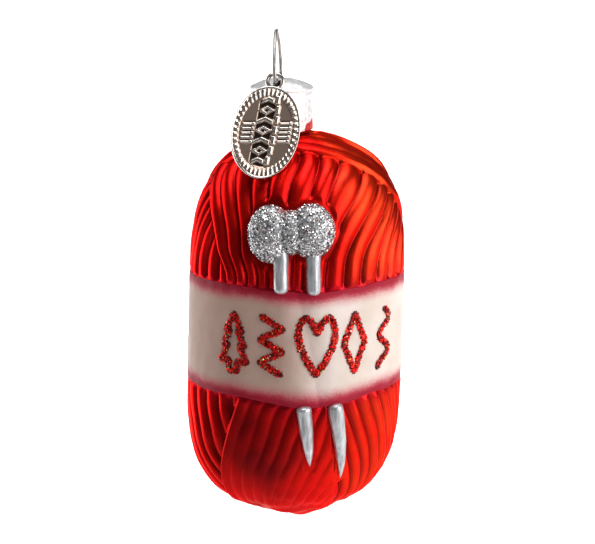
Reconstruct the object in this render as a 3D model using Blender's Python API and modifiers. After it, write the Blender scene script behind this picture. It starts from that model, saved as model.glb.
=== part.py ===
"""Blown-glass Christmas ornament in the shape of a skein of yarn, hanging from its wire loop.

Frame: metres, +Z up, +X to the right of the front, and the front faces -Y. The origin is the point
that a hook touches, the inner top of the wire loop.

A place on the glass is given by its angle round the skein, 0 at the front and positive towards +X,
and by its height.
"""

import math

import bmesh
import bpy
from mathutils import Matrix, Vector

MM = 0.001
GAP = 0.3 * MM  # left between solids that touch on the real ornament

# The skein: a tall rounded barrel, oval from above.
SKEIN_TOP = -24.1 * MM
SKEIN_HALF_HEIGHT = 49.0 * MM
SKEIN_HALF_WIDTH = 26.9 * MM
SKEIN_HALF_DEPTH = 25.0 * MM
SKEIN_MIDDLE = SKEIN_TOP - SKEIN_HALF_HEIGHT
SKEIN_X = 4.7 * MM
SKEIN_LEAN = 0.027
END_FULLNESS = 4.95
END_ROUNDNESS = 0.595
GLASS_WALL = 1.0 * MM

# The neck stands off the skein's own axis, and the cap sits over it.
NECK_X = 1.3 * MM
NECK_RADIUS = 6.7 * MM
NECK_RIM = -14.6 * MM
CAP_RADIUS = 7.85 * MM
CAP_WALL = 0.5 * MM
CAP_APEX = -11.2 * MM
CAP_DOME = 2.0 * MM
CAP_BOTTOM = -23.8 * MM
SLOT_INNER = 2.2 * MM
SLOT_OUTER = 6.8 * MM
SLOT_WIDTH = 1.8 * MM

# The label band lies in a shallow recess round the waist.
BAND_TOP = -59.2 * MM
BAND_BOTTOM = -86.2 * MM
BAND_WALL = 0.9 * MM
BAND_TOP_DIP = 1.1 * MM
BAND_BOTTOM_DIP = 2.2 * MM
DIP_ANGLE = math.radians(10)
DIP_SPREAD = math.radians(28)
DIP_REACH = 14 * MM
RECESS = BAND_WALL + GAP
BUMP = 1.2 * MM
BUMP_SPREAD = math.radians(8)

# The needles: where each one's centre line meets the band's edges, as angles.
NEEDLE_RADIUS = 1.6 * MM
NEEDLE_LIFT = 0.2 * MM
NEEDLES = {
    "left": {"top": -8.9, "band_top": -8.0, "band_bottom": 5.0, "point": 9.9, "point_z": -103.9 * MM},
    "right": {"top": 7.7, "band_top": 8.7, "band_bottom": 21.5, "point": 30.0, "point_z": -107.9 * MM},
}
SHAFT_TOP = -50.0 * MM
KNOBS = {
    "left": {"angle": -15.6, "z": -45.9 * MM, "half_width": 5.5 * MM, "half_height": 7.1 * MM},
    "right": {"angle": 7.0, "z": -45.0 * MM, "half_width": 5.6 * MM, "half_height": 6.5 * MM},
}
KNOB_HALF_DEPTH = 5.6 * MM

# The spring wire lies in one plane, which turns and leans a little.
WIRE_RADIUS = 0.45 * MM
WIRE_TURN = 0.073
WIRE_LEAN = -0.0375
LEG_END = -36.0 * MM
LEG_SPREAD = 4.85 * MM

# The tag: an oval plate with a ring lug, leaning on the shoulder of the glass.
TAG_HALF_WIDTH = 8.3 * MM
TAG_HALF_HEIGHT = 11.9 * MM
TAG_THICKNESS = 1.4 * MM
TAG_RIM = 1.5 * MM
TAG_FIELD_DEPTH = 0.35 * MM
LUG_RADIUS = 1.9 * MM
LUG_WIRE = 0.5 * MM
LUG_S = -8.6 * MM
LUG_Z = -11.0 * MM
TAG_LEAN = math.radians(26.5)
TAG_TILT = math.radians(10)

# The glitter motifs stand on the band, each drawn as one line round it.
MOTIF_WIRE = 0.55 * MM
MOTIF_Z = -73.2 * MM
MOTIF_HALF_HEIGHT = 7.6 * MM

ROUND = 48  # segments round the skein


def clear_scene():
    for obj in list(bpy.data.objects):
        bpy.data.objects.remove(obj, do_unlink=True)
    for name in ("yarn_skein_ornament", "cutters"):
        collection = bpy.data.collections.new(name)
        bpy.context.scene.collection.children.link(collection)


def paint(name, colour, roughness, metallic):
    material = bpy.data.materials.new(name)
    material.use_nodes = True
    shader = material.node_tree.nodes["Principled BSDF"]
    shader.inputs["Base Color"].default_value = (*colour, 1)
    shader.inputs["Roughness"].default_value = roughness
    shader.inputs["Metallic"].default_value = metallic
    return material


def add_object(name, mesh, material, parent):
    """A visible part, on the empty of the body that it moves with."""
    obj = bpy.data.objects.new(name, mesh)
    bpy.data.collections["yarn_skein_ornament"].objects.link(obj)
    mesh.materials.append(material)
    obj.parent = parent
    return obj


def add_cutter(name, mesh):
    obj = bpy.data.objects.new(name, mesh)
    bpy.data.collections["cutters"].objects.link(obj)
    obj.hide_render = True
    obj.display_type = "WIRE"
    return obj


def add_empty(name, location):
    obj = bpy.data.objects.new(name, None)
    bpy.data.collections["yarn_skein_ornament"].objects.link(obj)
    obj.empty_display_size = 5 * MM
    obj.location = location
    return obj


def boolean(obj, operation, other):
    modifier = obj.modifiers.new(other.name, "BOOLEAN")
    modifier.operation = operation
    modifier.solver = "EXACT"
    modifier.object = other


def solidify(obj, thickness):
    """A wall of this thickness, inwards from the drawn surface."""
    modifier = obj.modifiers.new("wall", "SOLIDIFY")
    modifier.thickness = thickness
    modifier.offset = -1


def smooth_max(a, b, sharpness=8):
    """The larger of two lengths, with a rounded change from one to the other."""
    large = max(a, b)
    return large * sum((max(v, 0) / large) ** sharpness for v in (a, b)) ** (1 / sharpness)


def bell(x):
    return math.exp(-x * x)


def skein_section(z):
    """Centre x, half width and half depth of the oval at this height, running up into the neck."""
    along = min(abs(z - SKEIN_MIDDLE) / SKEIN_HALF_HEIGHT, 1)
    share = (1 - along**END_FULLNESS) ** END_ROUNDNESS
    centre = SKEIN_X + SKEIN_LEAN * (z - SKEIN_MIDDLE) - NECK_X
    left = SKEIN_HALF_WIDTH * share - centre
    right = SKEIN_HALF_WIDTH * share + centre
    depth = SKEIN_HALF_DEPTH * share
    if z > SKEIN_MIDDLE:
        left, right, depth = (smooth_max(v, NECK_RADIUS) for v in (left, right, depth))
    return NECK_X + (right - left) / 2, (right + left) / 2, depth


def skein_point(angle, z, out=0.0):
    """The point at this angle and height, moved out from the glass's smooth surface."""
    centre, half_width, half_depth = skein_section(z)
    x = centre + (half_width + out) * math.sin(angle)
    return Vector((x, -(half_depth + out) * math.cos(angle), z))


def follow_band(angle, z):
    """Moves a height with the band's edges, which dip a little at the front."""
    dip = bell((angle - DIP_ANGLE) / DIP_SPREAD)
    near_top = max(0, 1 - abs(z - BAND_TOP) / DIP_REACH)
    near_bottom = max(0, 1 - abs(z - BAND_BOTTOM) / DIP_REACH)
    return z - dip * (BAND_TOP_DIP * near_top + BAND_BOTTOM_DIP * near_bottom)


def needle_angle(side, z):
    """The angle of a needle's centre line at a height under the band."""
    needle = NEEDLES[side]
    along = (BAND_TOP - z) / (BAND_TOP - BAND_BOTTOM)
    return math.radians(needle["band_top"] + along * (needle["band_bottom"] - needle["band_top"]))


def needle_bump(angle, z):
    """How far the band stands out where it crosses the two needles."""
    return BUMP * max(bell((angle - needle_angle(side, z)) / BUMP_SPREAD) for side in NEEDLES)


def loft(name, rows):
    """A surface through rows of points, each row a closed ring or a single pole."""
    mesh = bpy.data.meshes.new(name)
    shape = bmesh.new()
    rings = [[shape.verts.new(point) for point in row] for row in rows]
    for upper, lower in zip(rings, rings[1:]):
        count = max(len(upper), len(lower))
        for i in range(count):
            j = (i + 1) % count
            corners = [upper[i % len(upper)], lower[i % len(lower)]]
            corners += [lower[j % len(lower)], upper[j % len(upper)]]
            shape.faces.new(list(dict.fromkeys(corners)))
    shape.to_mesh(mesh)
    shape.free()
    mesh.shade_smooth()
    return mesh


def skein_ring(z, out_at, segments=ROUND):
    """One ring round the skein, where out_at(angle, z) says how far out it is."""
    points = []
    for i in range(segments):
        angle = 2 * math.pi * i / segments - math.pi
        points.append(skein_point(angle, follow_band(angle, z), out_at(angle, z)))
    return points


def skein_heights(count_end=9, count_waist=5):
    """Heights from the neck's rim to the last ring, closer together round the ends."""
    neck = [NECK_RIM, -19 * MM, -23 * MM]
    upper = []
    for i in range(count_end):
        turn = math.pi / 2 * (i + 0.35) / count_end
        upper.append(SKEIN_MIDDLE + SKEIN_HALF_HEIGHT * math.cos(turn))
    upper = [z for z in upper if z > BAND_TOP + 2 * MM]
    lower = [2 * SKEIN_MIDDLE - z for z in reversed(upper)]
    band = [BAND_TOP + 1.2 * MM, BAND_TOP + GAP]
    band += [BAND_TOP + (BAND_BOTTOM - BAND_TOP) * i / count_waist for i in range(1, count_waist)]
    band += [BAND_BOTTOM - GAP, BAND_BOTTOM - 1.2 * MM]
    return neck + upper + band + lower


def make_glass(parent):
    def out_at(angle, z):
        in_recess = BAND_BOTTOM - GAP <= z <= BAND_TOP + GAP
        return needle_bump(angle, z) - RECESS if in_recess else 0.0

    rows = [skein_ring(z, out_at) for z in skein_heights()]
    foot = SKEIN_MIDDLE - SKEIN_HALF_HEIGHT
    rows.append([Vector((skein_section(foot)[0], 0, foot))])
    lacquer = paint("red_lacquer_on_silvered_glass", (0.55, 0.01, 0.01), 0.3, 0.8)
    glass = add_object("glass_body", loft("glass_body", rows), lacquer, parent)
    solidify(glass, GLASS_WALL)


def make_band(parent):
    rows = []
    for i in range(6):
        z = BAND_TOP + (BAND_BOTTOM - BAND_TOP) * i / 5
        rows.append(skein_ring(z, needle_bump))
    cream = paint("cream_label_enamel", (0.8, 0.74, 0.68), 0.5, 0.0)
    band = add_object("label_band", loft("label_band", rows), cream, parent)
    solidify(band, BAND_WALL)


def make_skein_cutter():
    """The whole skein as one solid, a gap larger than the glass, which trims the relief on it."""
    heights = [z for z in skein_heights() if z < SKEIN_TOP - 1 * MM]
    rows = [skein_ring(z, lambda angle, z: GAP) for z in heights]
    foot = SKEIN_MIDDLE - SKEIN_HALF_HEIGHT - GAP
    rows.insert(0, [Vector((skein_section(heights[0])[0], 0, heights[0]))])
    rows.append([Vector((skein_section(foot)[0], 0, foot))])
    return add_cutter("skein_cutter", loft("skein_cutter", rows))


def tube_mesh(name, points, radius, shares=None, cyclic=False):
    """A round bar along the points; shares scale its radius point by point."""
    curve = bpy.data.curves.new(name, "CURVE")
    curve.dimensions = "3D"
    curve.bevel_depth = radius
    curve.bevel_resolution = 2
    curve.use_fill_caps = not cyclic
    spline = curve.splines.new("POLY")
    spline.points.add(len(points) - 1)
    for i, (point, place) in enumerate(zip(spline.points, points)):
        point.co = (*place, 1)
        point.radius = shares[i] if shares else 1
    spline.use_cyclic_u = cyclic
    guide = bpy.data.objects.new(name, curve)
    bpy.context.scene.collection.objects.link(guide)
    graph = bpy.context.evaluated_depsgraph_get()
    mesh = bpy.data.meshes.new_from_object(guide.evaluated_get(graph))
    bpy.data.objects.remove(guide, do_unlink=True)
    shape = bmesh.new()
    shape.from_mesh(mesh)
    bmesh.ops.remove_doubles(shape, verts=shape.verts, dist=1e-6)
    bmesh.ops.recalc_face_normals(shape, faces=shape.faces)
    shape.to_mesh(mesh)
    shape.free()
    mesh.name = name
    mesh.shade_smooth()
    return mesh


def smooth_path(points, steps):
    """A Catmull-Rom curve through the points."""
    points = [Vector(p) for p in points]
    padded = [2 * points[0] - points[1], *points, 2 * points[-1] - points[-2]]
    path = []
    for a, b, c, d in zip(padded, padded[1:], padded[2:], padded[3:]):
        for i in range(steps):
            t = i / steps
            bend = (2 * a - 5 * b + 4 * c - d) * t**2 + (3 * b - a - 3 * c + d) * t**3
            path.append(0.5 * (2 * b + (c - a) * t + bend))
    return path + [points[-1]]


def round_ends(count, rounded):
    """Radius shares of a bar with domed ends, over this many points at each end."""
    shares = []
    for i in range(count):
        inward = min(i, count - 1 - i, rounded) / rounded
        shares.append(max(0.3, math.sqrt(1 - (1 - inward) ** 2)))
    return shares


def knob_mesh(name, side, grow):
    knob = KNOBS[side]
    shape = bmesh.new()
    bmesh.ops.create_uvsphere(shape, u_segments=20, v_segments=12, radius=1)
    half = Vector((knob["half_width"], KNOB_HALF_DEPTH, knob["half_height"])) + Vector([grow] * 3)
    centre = skein_point(math.radians(knob["angle"]), knob["z"], -0.4 * MM)
    shape.transform(Matrix.Translation(centre) @ Matrix.Diagonal((*half, 1)))
    mesh = bpy.data.meshes.new(name)
    shape.to_mesh(mesh)
    shape.free()
    mesh.shade_smooth()
    return mesh


def make_needles(parent, skein_cutter):
    silver = paint("silver_needle_enamel", (0.6, 0.6, 0.62), 0.35, 0.6)
    glitter = paint("silver_glitter", (0.65, 0.65, 0.67), 0.4, 0.8)
    for side, needle in NEEDLES.items():
        knob_cutter = add_cutter(f"knob_cutter_{side}", knob_mesh(f"knob_cutter_{side}", side, GAP))
        shaft_end = follow_band(math.radians(needle["band_top"]), BAND_TOP) + GAP + NEEDLE_RADIUS / 2
        count = 11
        places = []
        for i in range(count):
            angle = needle["top"] + (needle["band_top"] - needle["top"]) * i / (count - 1)
            z = SHAFT_TOP + (shaft_end - SHAFT_TOP) * i / (count - 1)
            places.append(skein_point(math.radians(angle), z, NEEDLE_LIFT))
        name = f"needle_shaft_{side}"
        mesh = tube_mesh(name, places, NEEDLE_RADIUS, round_ends(count, 2))
        shaft = add_object(name, mesh, silver, parent)
        boolean(shaft, "DIFFERENCE", skein_cutter)
        boolean(shaft, "DIFFERENCE", knob_cutter)

        tip_start = follow_band(math.radians(needle["band_bottom"]), BAND_BOTTOM) - GAP
        places = []
        for i in range(count):
            along = i / (count - 1)
            angle = needle["band_bottom"] + (needle["point"] - needle["band_bottom"]) * along
            z = tip_start + (needle["point_z"] - tip_start) * along
            places.append(skein_point(math.radians(angle), z, NEEDLE_LIFT * (1 - along) + GAP))
        shares = [1 - 0.8 * (i / (count - 1)) ** 1.6 for i in range(count)]
        name = f"needle_tip_{side}"
        tip = add_object(name, tube_mesh(name, places, NEEDLE_RADIUS, shares), silver, parent)
        boolean(tip, "DIFFERENCE", skein_cutter)

        name = f"needle_knob_{side}"
        knob = add_object(name, knob_mesh(name, side, 0), glitter, parent)
        boolean(knob, "DIFFERENCE", skein_cutter)
        if side == "right":
            boolean(knob, "DIFFERENCE", bpy.data.objects["knob_cutter_left"])


def motif_outlines():
    """Each motif's centre angle, half width, whether its line closes, and its corners (-1 to 1)."""
    heart = [(0, 0.45), (0.3, 0.85), (0.62, 1), (0.9, 0.8), (1, 0.4), (0.85, -0.05), (0.5, -0.5), (0, -1)]
    heart += [(-x, y) for x, y in reversed(heart[1:-1])]
    tree = [(0, 1), (0.6, 0.4), (0.3, 0.4), (0.8, -0.1), (0.45, -0.1), (1, -0.65), (0.3, -0.65), (0.3, -1)]
    tree += [(-x, y) for x, y in reversed(tree[1:])]
    zigzag = [(-0.8, 1), (0.9, 0.6), (-0.9, 0.2), (0.9, -0.2), (-0.9, -0.6), (0.8, -1)]
    wave = [(math.sin(i * 0.55) * 0.8, 1 - i / 10) for i in range(21)]
    diamond = [(0, 1), (1, 0), (0, -1), (-1, 0)]
    return {
        "motif_tree": (-33.9, 4.3 * MM, True, tree),
        "motif_zigzag": (-12.5, 3.6 * MM, False, zigzag),
        "motif_heart": (10.8, 5.0 * MM, True, heart),
        "motif_diamond": (32.1, 3.6 * MM, True, diamond),
        "motif_wave": (53.2, 3.0 * MM, False, wave),
    }


def refine(corners, closed, spacing=0.3):
    """Points along the outline, close enough to follow the round band."""
    ends = corners[1:] + corners[:1] if closed else corners[1:]
    points = []
    for a, b in zip(corners, ends):
        count = max(1, round(math.dist(a, b) / spacing))
        for i in range(count):
            points.append((a[0] + (b[0] - a[0]) * i / count, a[1] + (b[1] - a[1]) * i / count))
    return points if closed else points + [corners[-1]]


def make_motifs(parent):
    glitter = paint("red_glitter", (0.5, 0.01, 0.02), 0.4, 0.5)
    for name, (angle, half_width, closed, corners) in motif_outlines().items():
        places = []
        for x, y in refine(corners, closed):
            turn = math.radians(angle) + x * half_width / SKEIN_HALF_WIDTH
            z = MOTIF_Z + y * MOTIF_HALF_HEIGHT
            out = needle_bump(turn, z) + GAP + MOTIF_WIRE
            places.append(skein_point(turn, z, out))
        mesh = tube_mesh(name, places, MOTIF_WIRE, cyclic=closed)
        add_object(name, mesh, glitter, parent)


def wire_point(s, z):
    """A point of the wire's plane: s runs across it, from front to back, and z is the height."""
    return Vector((WIRE_LEAN * z + WIRE_TURN * s, s, z))


def make_hanger(parent):
    side = [
        (LEG_SPREAD, LEG_END),
        (4.3 * MM, -28 * MM),
        (3.3 * MM, -18 * MM),
        (3.1 * MM, -13.5 * MM),
        (3.4 * MM, -11.7 * MM),
        (4.8 * MM, -11.2 * MM),
        (7.6 * MM, -11.25 * MM),
        (8.9 * MM, -10.8 * MM),
        (9.35 * MM, -9.2 * MM),
        (8.7 * MM, -6.6 * MM),
        (7.0 * MM, -3.7 * MM),
        (4.6 * MM, -1.2 * MM),
        (2.2 * MM, 0.1 * MM),
    ]
    points = [wire_point(-s, z) for s, z in side]
    points.append(wire_point(0, WIRE_RADIUS))
    points += [wire_point(s, z) for s, z in reversed(side)]
    steel = paint("bright_spring_wire", (0.7, 0.7, 0.7), 0.2, 1.0)
    mesh = tube_mesh("hanger_wire", smooth_path(points, 3), WIRE_RADIUS)
    add_object("hanger_wire", mesh, steel, parent)


def cap_profile():
    """The wall's outline: over the dome and down the skirt outside, then back up inside."""
    rise = [i / 4 for i in range(5)]
    shoulder = 0.5 * MM
    outer = [((CAP_RADIUS - shoulder) * t, CAP_APEX - CAP_DOME * t * t) for t in rise]
    outer.append((CAP_RADIUS, CAP_APEX - CAP_DOME - shoulder))
    outer.append((CAP_RADIUS, CAP_BOTTOM))
    inner = [(x - CAP_WALL, z) for x, z in reversed(outer[-2:])]
    inner += [(max(0, x - CAP_WALL * t), z - CAP_WALL) for (x, z), t in reversed(list(zip(outer, rise)))]
    return outer + inner


def make_cap(parent):
    mesh = bpy.data.meshes.new("ornament_cap")
    profile = [(x, 0, z) for x, z in cap_profile()]
    mesh.from_pydata(profile, [(i, i + 1) for i in range(len(profile) - 1)], [])
    silver = paint("bright_stamped_cap_metal", (0.8, 0.8, 0.8), 0.25, 1.0)
    cap = add_object("ornament_cap", mesh, silver, parent)
    turn = cap.modifiers.new("turn", "SCREW")
    turn.steps = turn.render_steps = 40
    turn.use_merge_vertices = True
    turn.merge_threshold = 1e-6
    turn.use_smooth_shade = True
    for end in (-1, 1):
        middle = wire_point(end * (SLOT_INNER + SLOT_OUTER) / 2, CAP_APEX)
        size = Vector((SLOT_WIDTH, SLOT_OUTER - SLOT_INNER, 8 * MM))
        shape = bmesh.new()
        bmesh.ops.create_cube(shape, size=1)
        turned = Matrix.Rotation(-math.atan(WIRE_TURN), 4, "Z") @ Matrix.Diagonal((*size, 1))
        shape.transform(Matrix.Translation(middle) @ turned)
        box = bpy.data.meshes.new("slot")
        shape.to_mesh(box)
        shape.free()
        boolean(cap, "DIFFERENCE", add_cutter(f"slot_cutter_{'front' if end < 0 else 'back'}", box))


def oval_mesh(name, half_width, half_height, depth, centre):
    """An oval plate across Y, in the tag's own axes."""
    shape = bmesh.new()
    bmesh.ops.create_cone(shape, cap_ends=True, segments=40, radius1=1, radius2=1, depth=1)
    upright = Matrix.Rotation(math.radians(90), 4, "X")
    size = Matrix.Diagonal((half_width, depth, half_height, 1))
    shape.transform(Matrix.Translation(centre) @ size @ upright)
    mesh = bpy.data.meshes.new(name)
    shape.to_mesh(mesh)
    shape.free()
    return mesh


def make_tag(parent):
    """The tag is drawn upright, facing -Y, with its lug's centre at its own origin."""
    middle = Vector((0, 0, -(TAG_HALF_HEIGHT + LUG_RADIUS - LUG_WIRE)))
    plate = oval_mesh("oval_tag", TAG_HALF_WIDTH, TAG_HALF_HEIGHT, TAG_THICKNESS, middle)
    nickel = paint("antique_nickel_casting", (0.5, 0.48, 0.46), 0.3, 1.0)
    tag = add_object("oval_tag", plate, nickel, parent)
    field = middle + Vector((0, -TAG_THICKNESS, 0))
    field_size = (TAG_HALF_WIDTH - TAG_RIM, TAG_HALF_HEIGHT - TAG_RIM)
    field_depth = TAG_THICKNESS + 2 * TAG_FIELD_DEPTH
    recess = add_cutter("tag_field_cutter", oval_mesh("tag_field", *field_size, field_depth, field))
    bpy.ops.mesh.primitive_torus_add(
        major_radius=LUG_RADIUS,
        minor_radius=LUG_WIRE,
        major_segments=24,
        minor_segments=8,
        rotation=(math.radians(90), 0, 0),
    )
    ring = bpy.context.object
    lug = add_cutter("tag_lug", ring.data)
    lug.rotation_euler = ring.rotation_euler
    bpy.data.objects.remove(ring, do_unlink=True)
    for helper in (recess, lug):
        helper.parent = parent
    boolean(tag, "DIFFERENCE", recess)
    boolean(tag, "UNION", lug)


def main():
    clear_scene()
    hanger = add_empty("hanger_body", (0, 0, 0))
    cap = add_empty("cap_play_joint", (NECK_X, 0, 0))
    glass = add_empty("glass_pull_joint", (0, 0, 0))
    tag = add_empty("tag_swing_joint", wire_point(LUG_S, LUG_Z))
    tag.rotation_euler = (-TAG_LEAN, TAG_TILT, 0)
    tag.rotation_mode = "YXZ"
    bpy.context.view_layer.update()

    make_hanger(hanger)
    make_cap(cap)
    make_tag(tag)
    make_glass(glass)
    make_band(glass)
    make_needles(glass, make_skein_cutter())
    make_motifs(glass)


if __name__ == "__main__":
    main()
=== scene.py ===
"""The finished look of a blown-glass Christmas ornament in the shape of a skein of yarn.

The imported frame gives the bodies, which hang from the wire loop: the hanger, the cap, the tag and the
glass. Each operator below makes one piece, or one group of like pieces, as surfaces worked out with
numpy. A place on the glass is given by its angle round the skein, 0 at the front and positive towards
+X, and by its height.
"""

import math

import bpy
import numpy as np
from mathutils import Matrix


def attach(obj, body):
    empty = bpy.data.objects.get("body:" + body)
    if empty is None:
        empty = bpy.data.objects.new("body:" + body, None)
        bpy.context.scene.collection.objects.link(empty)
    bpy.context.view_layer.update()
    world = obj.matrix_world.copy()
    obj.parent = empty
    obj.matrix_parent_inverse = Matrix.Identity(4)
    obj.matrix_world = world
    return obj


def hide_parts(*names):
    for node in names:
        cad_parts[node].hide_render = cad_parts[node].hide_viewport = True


bl_info = {
    "name": "Yarn Skein Glass Ornament",
    "version": (1, 0, 0),
    "blender": (4, 5, 0),
    "location": "View3D > Sidebar > Ornament",
    "description": "Builds a blown-glass yarn skein ornament with its cap, wire and tag",
    "category": "Add Mesh",
}

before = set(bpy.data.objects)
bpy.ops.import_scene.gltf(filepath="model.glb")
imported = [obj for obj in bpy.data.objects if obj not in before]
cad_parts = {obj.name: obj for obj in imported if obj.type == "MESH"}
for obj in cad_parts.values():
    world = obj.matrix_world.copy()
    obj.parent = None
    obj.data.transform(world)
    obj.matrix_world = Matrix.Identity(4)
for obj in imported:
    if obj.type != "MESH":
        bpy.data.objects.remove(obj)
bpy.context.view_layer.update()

MM = 0.001

# The skein: a tall rounded barrel, oval from above, on an axis that leans a little.
SKEIN_TOP = -24.1 * MM
SKEIN_HALF_HEIGHT = 49.0 * MM
SKEIN_HALF_WIDTH = 26.9 * MM
SKEIN_HALF_DEPTH = 25.0 * MM
SKEIN_MIDDLE = SKEIN_TOP - SKEIN_HALF_HEIGHT
SKEIN_X = 4.7 * MM
SKEIN_LEAN = 0.027
END_FULLNESS = 4.95
END_ROUNDNESS = 0.595

# The neck, off the skein's own axis.
NECK_X = 1.3 * MM
NECK_RADIUS = 6.7 * MM
NECK_RIM = -14.6 * MM

# The label band round the waist.
BAND_TOP = -59.2 * MM
BAND_BOTTOM = -86.2 * MM
BAND_WALL = 0.9 * MM
BAND_TOP_DIP = 1.1 * MM
BAND_BOTTOM_DIP = 2.2 * MM
DIP_ANGLE = math.radians(10)
DIP_SPREAD = math.radians(28)
DIP_REACH = 14 * MM
RECESS = 1.2 * MM
BUMP = 0.85 * MM
BUMP_SPREAD = math.radians(11.5)

# The needles: each one's centre line, as degrees round the skein at four heights.
NEEDLES = {
    "left": {"top": -8.9, "band_top": -8.0, "band_bottom": 5.0, "point": 9.9, "point_z": -103.9 * MM},
    "right": {"top": 7.7, "band_top": 8.7, "band_bottom": 21.5, "point": 30.0, "point_z": -107.9 * MM},
}
SHAFT_TOP = -50.0 * MM
SHAFT_RADIUS = 1.8 * MM
TIP_RADIUS = 1.85 * MM
KNOBS = {
    "left": {"angle": -15.0, "z": -46.0 * MM, "half_width": 5.6 * MM, "half_height": 7.1 * MM},
    "right": {"angle": 7.0, "z": -45.2 * MM, "half_width": 5.7 * MM, "half_height": 6.7 * MM},
}
KNOB_HALF_DEPTH = 5.6 * MM

# The spring wire's plane, and the half of its path from a leg's end to the loop's top.
WIRE_TURN = 0.073
WIRE_LEAN = -0.0375
WIRE_RADIUS = 0.45 * MM
WIRE_PATH = [(4.85, -36.0), (4.3, -28.0), (3.3, -18.0), (3.1, -13.5), (3.4, -11.7), (4.8, -11.2)]
WIRE_PATH += [(7.6, -11.25), (8.9, -10.8), (9.35, -9.2), (8.7, -6.6), (7.0, -3.7), (4.6, -1.2), (2.2, 0.1)]

# The cap.
CAP_RADIUS = 7.85 * MM
CAP_APEX = -11.2 * MM
CAP_DOME = 2.0 * MM
CAP_BOTTOM = -23.8 * MM
SLOT_REACH = (2.2 * MM, 6.8 * MM)
SLOT_WIDTH = 1.8 * MM

# The tag, drawn upright about its lug's centre and then leaned on the shoulder of the glass.
TAG_HALF_WIDTH = 8.3 * MM
TAG_HALF_HEIGHT = 11.9 * MM
TAG_THICKNESS = 1.4 * MM
TAG_RELIEF = 0.42  # the height of relief, in millimetres, that is level with the full thickness
LUG_RADIUS = 1.9 * MM
LUG_WIRE = 0.5 * MM
LUG_S = -8.6 * MM
LUG_Z = -11.0 * MM
TAG_LEAN = math.radians(26.5)
TAG_TILT = math.radians(10)

# The glitter motifs on the band.
MOTIF_Z = -73.2 * MM
MOTIF_HALF_HEIGHT = 7.6 * MM

COLUMNS = 480  # grid lines round the skein


# ---------------------------------------------------------------- small helpers


def linear(code):
    """An sRGB hex colour as linear red, green, blue and alpha."""
    parts = [int(code[i : i + 2], 16) / 255 for i in (0, 2, 4)]
    return tuple(v / 12.92 if v <= 0.04045 else ((v + 0.055) / 1.055) ** 2.4 for v in parts) + (1.0,)


def smooth(x):
    """0 below 0 and 1 above 1, with a smooth S between."""
    x = np.clip(x, 0, 1)
    return x * x * (3 - 2 * x)


def bell(x):
    """1 at 0, falling off evenly to nearly 0 beyond 2 on either side."""
    return np.exp(-x * x)


def scatter(index, seed):
    """A steady random value from 0 to 1 for each whole number."""
    return np.modf(np.abs(np.sin(index * 12.9898 + seed * 78.233) * 43758.5453))[0]


def ripple(points, size, seed, octaves=3):
    """Soft noise from -1 to 1: sums of sine waves that run in scattered directions, size metres long."""
    dice = np.random.default_rng(seed)
    total = np.zeros(points.shape[:-1])
    for octave in range(octaves):
        for _ in range(5):
            way = dice.normal(size=3)
            way /= np.linalg.norm(way)
            phase = dice.uniform(0, 2 * math.pi)
            total += np.sin(points @ way * (2 * math.pi * 1.7**octave / size) + phase) / 1.7**octave
    return total / 4.5


def around(count):
    """Angles once round, from -180 degrees, as one row."""
    return np.linspace(-math.pi, math.pi, count, endpoint=False)[None, :]


def triples(*axes):
    """Points from grids of x, y and z, spread to one shape."""
    return np.stack(np.broadcast_arrays(*axes), -1)


def grid_mesh(name, points, attributes=None, close_rows=False, caps=(None, None), keep=None):
    """A mesh over points[row, column], whose columns run round and close on themselves.

    Rows run down the outside. close_rows joins the last row to the first. caps are points that close
    the first and the last row. keep tells from the quads' middles which of them stay.
    """
    rows, columns = points.shape[:2]
    number = np.arange(rows * columns).reshape(rows, columns)
    upper = number if close_rows else number[:-1]
    lower = np.roll(number, -1, 0) if close_rows else number[1:]
    quads = np.stack([upper, lower, np.roll(lower, -1, 1), np.roll(upper, -1, 1)], -1).reshape(-1, 4)
    places = [points.reshape(-1, 3)]
    if keep is not None:
        quads = quads[keep(places[0][quads].mean(1))]
    faces = quads.tolist()
    for cap, ring, turned in ((caps[0], number[0], False), (caps[1], number[-1], True)):
        if cap is None:
            continue
        tip = sum(len(p) for p in places)
        places.append(np.asarray(cap, float).reshape(1, 3))
        after = np.roll(ring, -1)
        fan = np.stack([after, ring] if turned else [ring, after], -1)
        faces += np.column_stack([np.full(columns, tip), fan]).tolist()
    mesh = bpy.data.meshes.new(name)
    mesh.from_pydata(np.concatenate(places), [], faces)
    for key, values in (attributes or {}).items():
        flat = np.ravel(values).astype(np.float32)
        extra = len(mesh.vertices) - len(flat)
        flat = np.concatenate([flat, np.full(extra, flat[-1] if extra else 0, np.float32)])
        mesh.attributes.new(key, "FLOAT", "POINT").data.foreach_set("value", flat)
    mesh.shade_smooth()
    return mesh


def normals_of(points):
    """Unit outward normals of a grid whose columns run round."""
    down = np.gradient(points, axis=0)
    along = np.roll(points, -1, 1) - np.roll(points, 1, 1)
    normal = np.cross(down, along)
    return normal / np.maximum(np.linalg.norm(normal, axis=-1, keepdims=True), 1e-12)


def place(name, mesh, material, body, slot, *nodes):
    """A finished piece: it rides on its body and stands for its CAD nodes, which it hides; its slot is not
    used.
    """
    obj = bpy.data.objects.new(name, mesh)
    bpy.context.scene.collection.objects.link(obj)
    mesh.materials.append(material)
    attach(obj, body)
    if nodes:
        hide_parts(*nodes)
    return obj


# ---------------------------------------------------------------- the skein's form


def smooth_max(a, b, sharpness=8):
    """The larger of two lengths, with a rounded change from one to the other."""
    large = np.maximum(a, b)
    return large * ((np.maximum(a, 0) / large) ** sharpness + (b / large) ** sharpness) ** (1 / sharpness)


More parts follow.
